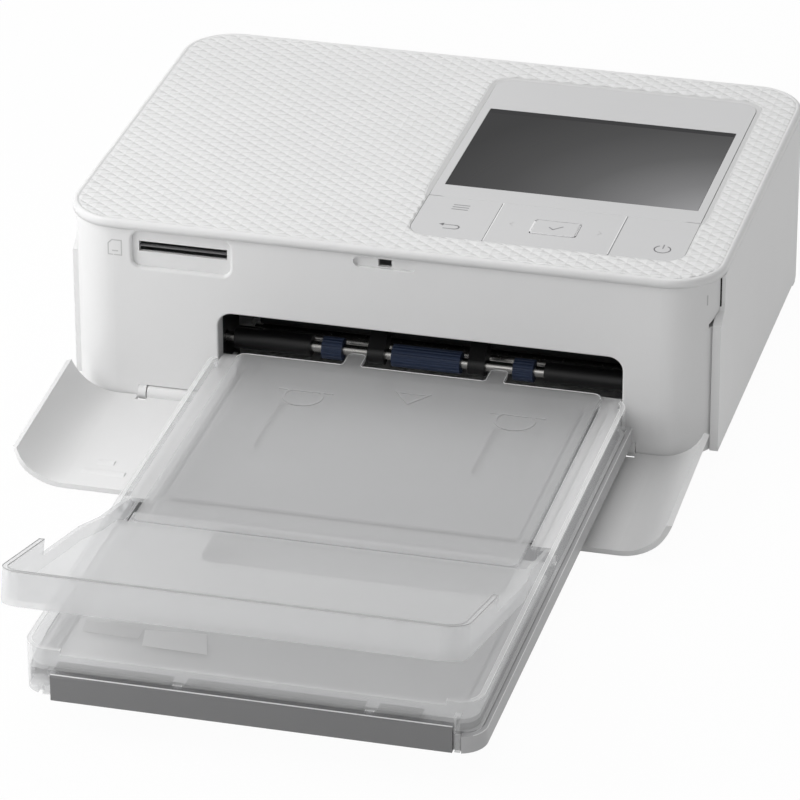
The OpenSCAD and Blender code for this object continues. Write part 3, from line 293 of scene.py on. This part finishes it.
def rounded_distance(x, y, cx, cy, w, d, r):
    """Signed distance to a rounded rectangle, negative inside."""
    qx = np.abs(x - cx) - (w / 2 - r)
    qy = np.abs(y - cy) - (d / 2 - r)
    return np.hypot(np.maximum(qx, 0), np.maximum(qy, 0)) + np.minimum(np.maximum(qx, qy), 0) - r


# ---------------------------------------------------------------- top cover with its textured field

DECK = 57.28                  # valleys of the field
EDGE_R = 1.2                  # rounding of the rim's upper edge
BEZEL_Y = FRONT + 37.3        # the keys end and the screen border starts here
BUMP_W, BUMP_L, BUMP_H = 5.18, 4.24, 0.42


def round_loop(cx, cy, w, d, r, steps=14):
    """Counter-clockwise outline of a round-cornered rectangle with its outward normals."""
    points = []
    for sx, sy, start in ((1, 1, 0), (-1, 1, 90), (-1, -1, 180), (1, -1, 270)):
        for i in range(steps + 1):
            a = math.radians(start + 90 * i / steps)
            n = (math.cos(a), math.sin(a))
            points.append((cx + sx * (w / 2 - r) + r * n[0], cy + sy * (d / 2 - r) + r * n[1], n))
    return points


def band_width(y):
    """Width of the sloped band round the panel: none beside the keys."""
    t = min(1.0, max(0.0, (y - BEZEL_Y + 2.0) / 4.0))
    return 0.2 + 1.25 * t * t * (3 - 2 * t)


def dense(loop, longest=4.0):
    """Adds points along a loop's straight parts."""
    result = []
    for (ax, ay, an), (bx, by, bn) in zip(loop, loop[1:] + loop[:1]):
        count = max(1, int(math.hypot(bx - ax, by - ay) / longest))
        result += [(ax + (bx - ax) * k / count, ay + (by - ay) * k / count, an) for k in range(count)]
    return result


def top_cover():
    from mathutils.geometry import tessellate_polygon
    verts, faces, tint = [], [], []

    def ring(points):
        start = len(verts)
        verts.extend(points)
        return list(range(start, start + len(points)))

    def wall(a, b, mat=0):
        n = len(a)
        for k in range(n):
            faces.append((a[k], a[(k + 1) % n], b[(k + 1) % n], b[k]))
            tint.append(mat)

    def cap(outer, inner, up):
        polygon = [[Vector(verts[k]) for k in outer], [Vector(verts[k]) for k in inner]]
        index = outer + inner
        for tri in tessellate_polygon(polygon):
            a, b, c = (index[k] for k in tri)
            area = ((verts[b][0] - verts[a][0]) * (verts[c][1] - verts[a][1])
                    - (verts[c][0] - verts[a][0]) * (verts[b][1] - verts[a][1]))
            faces.append((a, b, c) if (area > 0) == up else (a, c, b))
            tint.append(0)

    def outline(inset, z):
        return ring([(x, y, z) for x, y, n in
                     round_loop(0, FRONT + 66.5, 182.2 - 2 * inset, 133 - 2 * inset, 15 - inset)])

    rows = [outline(0, 55), outline(0, DECK + 0.22 - EDGE_R)]
    for k in range(1, 7):
        a = math.radians(90 * k / 6)
        rows.append(outline(EDGE_R * (1 - math.cos(a)), DECK + 0.22 - EDGE_R * (1 - math.sin(a))))
    rows.append(outline(EDGE_R + 0.35, DECK))
    for a, b in zip(rows, rows[1:]):
        wall(a, b)
    panel = dense(round_loop(sum(PANEL_X) / 2, sum(PANEL_Y) / 2, 75.7, 107.4, 5.5))
    at = lambda off, z: ring([(x + n[0] * off(y), y + n[1] * off(y), z(y)) for x, y, n in panel])
    upper = at(band_width, lambda y: DECK)
    lower = at(lambda y: 0.15, lambda y: DECK - 0.16 * (band_width(y) - 0.2))
    foot = at(lambda y: 0.15, lambda y: 55)
    # the sloped band gets the painted shade material
    wall(lower, upper, 1)
    wall(foot, lower)
    cap(rows[-1], upper, True)
    cap(rows[0], foot, False)
    obj = mesh("textured_top_cover", verts, faces, M["white"], "housing")
    obj.data.materials.append(M["band"])
    obj.data.polygons.foreach_set("material_index", tint)
    edge = 4 * 15 * 8
    obj.data.polygons.foreach_set("use_smooth", [k < edge for k in range(len(tint))])
    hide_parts("top_cover")


def bump_field():
    """Low four-sided pyramids on staggered lozenges, sinking to nothing at the field's edges."""
    verts, faces = [], []
    px, py = sum(PANEL_X) / 2, sum(PANEL_Y) / 2

    def room(x, y):
        edge = -rounded_distance(x, y, 0, FRONT + 66.5, 182.2 - 2 * EDGE_R, 133 - 2 * EDGE_R, 15 - EDGE_R)
        hole = rounded_distance(x, y, px, py, 75.7, 107.4, 5.5) - band_width(y)
        return min(float(edge) - 0.2, float(hole))

    a, b = BUMP_W / 2, BUMP_L / 2
    for row in range(-1, int(133 / b) + 2):
        for col in range(-18, 19):
            cx, cy = (col + (row % 2) / 2) * BUMP_W, FRONT + row * b
            corners = [(cx, cy - b), (cx + a, cy), (cx, cy + b), (cx - a, cy)]
            rooms = [room(x, y) for x, y in corners + [(cx, cy)]]
            if max(rooms) < 0:
                continue
            cuts = 2 if min(rooms) > 0.6 else 10
            start = len(verts)
            for i in range(cuts + 1):
                for j in range(cuts + 1):
                    s, t = i / cuts, j / cuts
                    x, y = cx + a * (s - t), cy - b + b * (s + t)
                    rise = 1 - 2 * max(abs(s - 0.5), abs(t - 0.5))
                    fade = min(1.0, max(0.0, room(x, y) / 0.6)) if cuts > 2 else 1.0
                    verts.append((x, y, DECK + 0.004 + BUMP_H * min(rise, 0.9) * fade))
            for i in range(cuts):
                for j in range(cuts):
                    k = start + i * (cuts + 1) + j
                    quad = (k, k + cuts + 1, k + cuts + 2, k + 1)
                    if cuts > 2 and min(room(verts[v][0], verts[v][1]) for v in quad) < 0:
                        continue
                    if (i < cuts / 2) == (j < cuts / 2):
                        faces += [(quad[0], quad[1], quad[2]), (quad[0], quad[2], quad[3])]
                    else:
                        faces += [(quad[0], quad[1], quad[3]), (quad[1], quad[2], quad[3])]
    return mesh("field_bumps", verts, faces, M["field"], "housing")


top_cover()
bump_field()


# ---------------------------------------------------------------- legends on the keys and panel

def legends():
    z0, z1 = PANEL, PANEL + 0.02
    ink = M["ink"]
    y = PANEL_Y[0]
    # power sign
    cx, cy = 72.3, y + 6.9
    power = stroke(arc(cx, cy, 2.2, 120, 420, 30), 0.34) + stroke([(cx, cy + 0.4), (cx, cy + 2.9)], 0.34)
    marks("power_sign", power, z0, z1, ink, "power", "panel_gloss")
    # return arrow and menu bars
    cx, cy = 13.6, y + 6.7
    back = stroke([(cx - 2.4, cy + 1.2), (cx + 1.4, cy + 1.2)] + arc(cx + 1.4, cy, 1.2, 90, -90, 12)
                  + [(cx - 1.6, cy - 1.2)], 0.36)
    back += [[(cx - 3.3, cy + 1.2), (cx - 1.9, cy + 0.3), (cx - 1.9, cy + 2.1)]]
    cy = y + 19.4
    bars = sum([stroke([(cx - 2.2, cy + k), (cx + 2.2, cy + k)], 0.42) for k in (-1.4, 0, 1.4)], [])
    marks("menu_back_signs", back + bars, z0, z1, ink, "menu_back", "panel_gloss")
    # chevrons of the navigation key
    faint = M["emboss"]
    loops = []
    for s in (-1, 1):
        x = KEY_X + s * 12.2
        loops += stroke([(x - s * 0.5, y + 13.9), (x + s * 0.4, y + 12.6), (x - s * 0.5, y + 11.3)], 0.26)
    marks("navigation_signs", loops, z0, z1, faint, "navigation", "panel_gloss")
    # tick on the confirm key
    x, c = KEY_X, y + 12.5
    tick = stroke([(x - 1.7, c + 0.1), (x - 0.5, c - 1.1), (x + 1.9, c + 1.3)], 0.4)
    marks("confirm_sign", tick, z0 + 0.15, z1 + 0.15, ink, "ok", "panel_gloss")


legends()


def front_details():
    """Upright mark on the right front corner, an embossed line drawn in painted shade, and the dark line of the ink
    door's gap as a painted shadow.
    """
    f = FRONT
    cx, cy, r = 76.1, f + 15, 14.12
    a = math.atan2(f + 6.55 - cy, 87.4 - cx)
    pts = [(cx + r * math.cos(a + k), cy + r * math.sin(a + k)) for k in (-0.012, 0.012)]
    outer = [(cx + (r + 0.06) * math.cos(a + k), cy + (r + 0.06) * math.sin(a + k)) for k in (-0.012, 0.012)]
    # painted shade: the embossed corner mark is a thin grey strip
    marks("corner_relief_painted_shade", [[pts[0], outer[0], outer[1], pts[1]]], 48.26, 51.18, M["emboss"], "housing", "body_white")
    # painted shadow: a black strip for the dark line of the door gap on the corner
    verts = []
    for x, y, z in ((89.75, f + 11.85, 54.9), (89.75, f + 11.85, 44.7), (89.45, f + 9.4, 42.3)):
        verts += [(x, y, z), (x + 0.42, y, z), (x + 0.42, y + 0.3, z), (x, y + 0.3, z)]
    faces = [(0, 1, 2, 3), (11, 10, 9, 8)]
    faces += [(k + j, k + 4 + j, k + 4 + (j + 1) % 4, k + (j + 1) % 4) for k in (0, 4) for j in range(4)]
    mesh("door_gap_painted_shadow", verts, faces, M["shade"], "housing")


def key_lines():
    """Fixed bright and dark strips at the key gaps, the screen's rear edge and the confirm key; those at the key gaps
    and the confirm key are painted highlights and painted shade.
    """
    y0, y1 = PANEL_Y[0] + 0.4, BEZEL_Y - 0.3
    z0, z1 = PANEL - 0.02, PANEL + 0.02
    bar = lambda x, w: [(x, y0), (x + w, y0), (x + w, y1), (x, y1)]
    # painted highlight strips at both key gaps and a painted shade strip in the right gap
    marks("key_gap_painted_highlight", [bar(24.2, 0.35), bar(58.45, 0.3)], z0, z1, M["edge"], "housing", "panel_gloss")
    marks("key_gap_painted_shade", [bar(58.75, 0.3)], z0, z1, M["ink"], "housing", "panel_gloss")
    # closes the gap between the keys and the screen border
    marks("bezel_gap_fill",
          [[(3.6, BEZEL_Y - 0.6), (78.5, BEZEL_Y - 0.6), (78.5, BEZEL_Y + 0.1), (3.6, BEZEL_Y + 0.1)]],
          PANEL - 0.06, PANEL - 0.03, M["panel"], "housing", "panel_gloss")
    # darker line along the screen's rear edge
    marks("screen_rear_band", [[(5.9, FRONT + 95.8), (76.3, FRONT + 95.8), (76.3, FRONT + 98.1), (5.9, FRONT + 98.1)]],
          PANEL + 0.005, PANEL + 0.015, M["bezel"], "housing", "screen_glass")
    # sides of the confirm key: painted highlights on both sides and painted shade beyond the right one
    x0, x1, c = KEY_X - 6.15, KEY_X + 6.15, PANEL_Y[0] + 12.55
    left = [(x0 - 0.5, c - 3.4), (x0, c - 3.4), (x0, c + 3.4), (x0 - 0.5, c + 3.4)]
    right = [(x1, c - 3.4), (x1 + 0.2, c - 3.4), (x1 + 0.2, c + 3.4), (x1, c + 3.4)]
    dark = [(x1 + 0.18, c - 3.4), (x1 + 0.4, c - 3.4), (x1 + 0.4, c + 3.4), (x1 + 0.18, c + 3.4)]
    marks("confirm_key_painted_highlight", [left, right], z0, z1, M["edge"], "housing", "panel_gloss")
    marks("confirm_key_painted_shade", [dark], z0, z1, M["ink"], "housing", "panel_gloss")


def card_sign():
    """Outline of a card on the left front corner, generic."""
    x0, z0, x1, z1 = -77.6, 46.6, -73.8, 51.0
    path = [(x0, z0), (x1, z0), (x1, z1), (x0 + 1.1, z1), (x0, z1 - 1.1)]
    loops = stroke(path, 0.3, closed=True)
    loops += stroke([(x0 + 1.2, z0 + 1.2), (x1 - 1.0, z0 + 1.2)], 0.3)
    # the loops lie in x and z, set on the front plane
    marks("card_sign", loops, -0.03, 0.03, M["emboss"], "housing", "body_white",
          lambda v: Vector((v.x, FRONT + 0.88 + max(0.0, -76.1 - v.x) ** 2 / 28 - v.z, v.y)))


def card_guide():
    """Grey guide that divides the card slot into two dark bands."""
    marks("card_guide", [[(-69, FRONT + 2.4), (-44.6, FRONT + 2.4), (-44.6, FRONT + 3.4), (-69, FRONT + 3.4)]],
          49.35, 49.75, M["foot"], "housing", "black_plastic")


card_guide()
front_details()
key_lines()
card_sign()


# ---------------------------------------------------------------- painted highlight and shade lines on the edges of the frosted parts

def sharp_edges(node, keep, least=50):
    """Sharp convex edges of a CAD piece as pairs of millimetre points with their inward direction."""
    data = NODES[node].data
    spot = [tuple(round(c, 6) for c in v.co) for v in data.vertices]
    normals = {}
    for poly in data.polygons:
        for a, b in poly.edge_keys:
            key = tuple(sorted((spot[a], spot[b])))
            normals.setdefault(key, []).append((poly.normal.copy(), poly.center.copy()))
    found = []
    for key, sides in normals.items():
        if len(sides) != 2:
            continue
        (n0, c0), (n1, c1) = sides
        if n0.dot(n1) > math.cos(math.radians(least)) or (c1 - c0).dot(n0) > -1e-9:
            continue
        a, b = (Vector(k) / MM for k in key)
        inward = -(n0 + n1).normalized()
        if (b - a).length > 0.05 and keep((a + b) / 2, (b - a).normalized(), inward):
            found.append((a.copy(), b.copy(), inward))
    return found


def edge_lines(name, node, mat, body, width, keep):
    """Fine square bars along chosen edges, a fraction of their width proud of the surfaces."""
    verts, faces = [], []
    for a, b, inward in sharp_edges(node, keep):
        along = (b - a).normalized()
        side = along.cross(inward) * width / 2
        base = len(verts)
        for p in (a - along * width * 0.1, b + along * width * 0.1):
            core = p + inward * width * 0.2
            verts += [tuple(core - side), tuple(core + inward * width * 0.5), tuple(core + side),
                      tuple(core - inward * width * 0.5)]
        faces += [(base, base + 1, base + 2, base + 3), (base + 7, base + 6, base + 5, base + 4)]
        faces += [(base + k, base + 4 + k, base + 4 + (k + 1) % 4, base + (k + 1) % 4) for k in range(4)]
    return mesh(name, verts, faces, mat, body)


def cassette_painted_edge_lines():
    # painted shade: grey bars on the sharp upward edges of the tray lid's end wall
    edge_lines("tray_rim_painted_shade", "outer_lid", M["rim"], "tray", 0.24,
               lambda p, d, i: i.z < -0.3 and p.y < FRONT - 150 and abs(d.z) < 0.3)
    # painted highlights: bright bars on the long upward edges of the frame and of the base's sides
    edge_lines("frame_edge_painted_highlight", "cassette_frame", M["edge"], "cassette", 0.2,
               lambda p, d, i: abs(d.y) > 0.7 and p.y < FRONT - 2 and i.z < -0.3)
    edge_lines("base_edge_painted_highlight", "cassette_base", M["edge"], "cassette", 0.2,
               lambda p, d, i: abs(d.y) > 0.7 and p.y < FRONT - 2 and i.z < -0.3 and abs(p.x - 10.4) > 55)
    # painted highlights on the inner lid's upper edges
    edge_lines("inner_lid_painted_highlight", "inner_lid", M["edge"], "inner", 0.3,
               lambda p, d, i: p.z > 20.3 and (p.y > FRONT - 1 or p.x < -38 and p.y > FRONT - 30) and i.z < -0.3)
    # painted highlight on the front strip's top edge
    marks("strip_edge_painted_highlight", [[(-39.6, FRONT - 170.6), (62.1, FRONT - 170.6), (62.1, FRONT - 170.2),
                               (-39.6, FRONT - 170.2)]], 15.6, 15.75, M["edge"], "cassette", "strip_grey")


cassette_painted_edge_lines()


def cassette_plate_marks():
    """Two faint moulded patches and the darker stripe above the front strip, just over the cassette's plate."""
    f = FRONT
    marks("plate_patch", [[(-38.2, f - 149.2), (-23.6, f - 149.5), (-23.6, f - 142.4), (-39, f - 143.5)]],
          *PLATE, M["patch"], "cassette", "frosted_clear")
    marks("plate_label", [[(-21.6, f - 152.4), (-4.7, f - 152.9), (-7.7, f - 142.8), (-23.2, f - 144.7)]],
          *PLATE, M["label"], "cassette", "frosted_clear")
    stripe = [[(a, f - 169.4), (b, f - 169.4), (b, f - 165.0), (a, f - 165.0)]
              for a, b in ((-39.2, -9.2), (-5.8, 39.4), (42.8, 53.8))]
    marks("strip_shadow_line", stripe, *PLATE, M["under"], "cassette", "frosted_clear")


cassette_plate_marks()


# ---------------------------------------------------------------- floor, light, camera

def floor():
    bpy.ops.mesh.primitive_plane_add(size=6, location=(0, 0, 0))
    plane = bpy.context.object
    plane.name = "floor"
    mat, tree = new_material("floor_white")
    diffuse = add(tree, "ShaderNodeBsdfDiffuse")
    diffuse.inputs["Color"].default_value = (0.82, 0.82, 0.82, 1)
    white = add(tree, "ShaderNodeEmission")
    white.inputs["Color"].default_value = (1, 1, 1, 1)
    path = tree.nodes.new("ShaderNodeLightPath")
    mix = tree.nodes.new("ShaderNodeMixShader")
    tree.links.new(diffuse.outputs["BSDF"], mix.inputs[1])
    tree.links.new(white.outputs["Emission"], mix.inputs[2])
    seen = path.outputs["Is Camera Ray"]
    for extra in ("Is Glossy Ray", "Is Transmission Ray"):
        either = add(tree, "ShaderNodeMath", operation="MAXIMUM")
        tree.links.new(seen, either.inputs[0])
        tree.links.new(path.outputs[extra], either.inputs[1])
        seen = either.outputs["Value"]
    share = add(tree, "ShaderNodeMath", operation="MULTIPLY")
    tree.links.new(seen, share.inputs[0])
    share.inputs[1].default_value = 0.965
    tree.links.new(share.outputs["Value"], mix.inputs["Fac"])
    out(tree, mix.outputs["Shader"])
    plane.data.materials.append(mat)


floor()


def area(name, size, at, to, power, size_y=None):
    light = bpy.data.lights.new(name, "AREA")
    light.energy = power
    light.size = size
    if size_y:
        light.shape = "RECTANGLE"
        light.size_y = size_y
    obj = bpy.data.objects.new(name, light)
    obj.location = at
    obj.rotation_euler = (Vector(to) - Vector(at)).to_track_quat("-Z", "Y").to_euler()
    bpy.context.scene.collection.objects.link(obj)
    return obj


area("key_light", 0.5, (-0.55, -0.22, 0.42), (-0.04, 0.03, 0.03), 3.4)
area("top_light", 1.2, (0.1, 0.55, 1.3), (0, 0.08, 0.05), 7.4)
area("front_fill", 0.8, (0.1, -1.2, 0.6), (0, -0.02, 0.03), 1.9)

world = bpy.data.worlds.new("studio")
world.use_nodes = True
bg = world.node_tree.nodes["Background"]
bg.inputs["Color"].default_value = (1, 1, 1, 1)
bg.inputs["Strength"].default_value = 0.3
bpy.context.scene.world = world


def camera():
    cam = bpy.data.cameras.new("camera")
    cam.sensor_width = 36
    cam.lens = 5306.223 / 800 * 36
    cam.shift_x = -(405.068 - 400) / 800
    cam.shift_y = (401.831 - 400) / 800
    cam.clip_end = 10
    obj = bpy.data.objects.new("camera", cam)
    bpy.context.scene.collection.objects.link(obj)
    right = Vector((0.9678750, 0.2514266, -0.0016337))
    up = Vector((-0.1126652, 0.4394988, 0.8911495))
    back = Vector((0.2247767, -0.8623372, 0.4537069))
    turn = Matrix((right, up, back)).transposed().to_4x4()
    obj.matrix_world = Matrix.Translation(Vector((0.329521, -1.214617, 0.665425))) @ turn
    bpy.context.scene.camera = obj


camera()
bpy.context.scene.view_settings.view_transform = "Standard"
